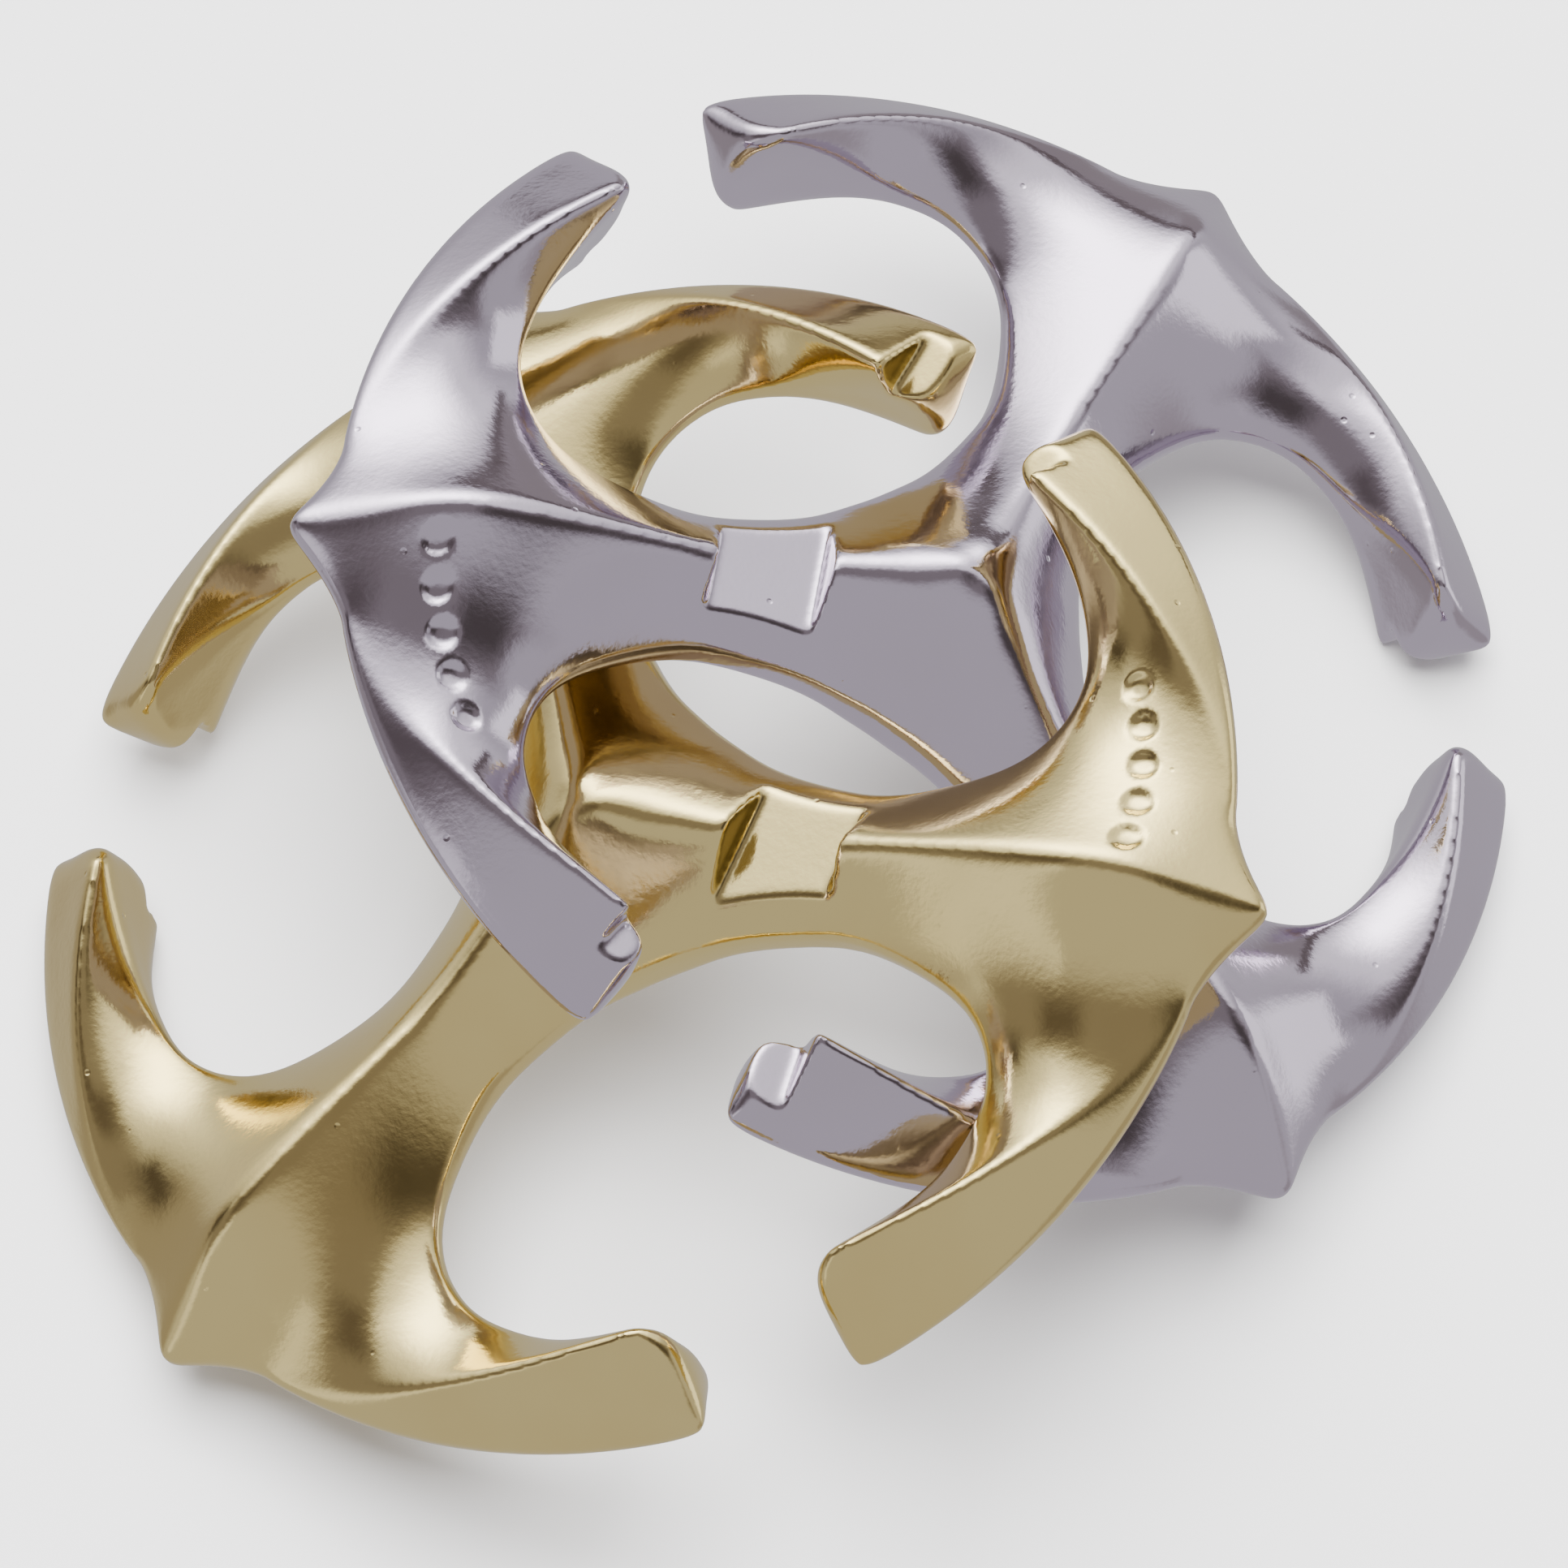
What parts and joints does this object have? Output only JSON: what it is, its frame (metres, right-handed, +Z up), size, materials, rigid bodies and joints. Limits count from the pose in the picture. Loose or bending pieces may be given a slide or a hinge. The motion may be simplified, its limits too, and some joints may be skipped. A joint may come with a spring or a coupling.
{
  "type": "metal ring disentanglement puzzle",
  "caption": "Cast metal disentanglement puzzle: two matching rotors with spiked arms and curved flukes, hooked through each other's open ring.",
  "frame": {"origin": "on the table, under the middle of the pair's bounding box", "axes": "+Z up from the table, +X from the gold rotor towards the silver rotor, -Y towards the viewer"},
  "size_m": [0.0596, 0.0592, 0.0219],
  "materials": {
    "gold_plating": "polished pale gold plating on a zinc die casting",
    "nickel_plating": "polished nickel plating on a zinc die casting"
  },
  "bodies": {
    "gold": {"gold_rotor": "gold_plating"},
    "silver": {"silver_rotor": "nickel_plating"}
  },
  "joints": [
    {"name": "silver_swing", "type": "hinge", "parent": "gold", "child": "silver", "pos_m": [0.001, 0, 0.0105], "axis": [0, 1, 0], "range_deg": [0, 85]}
  ]
}
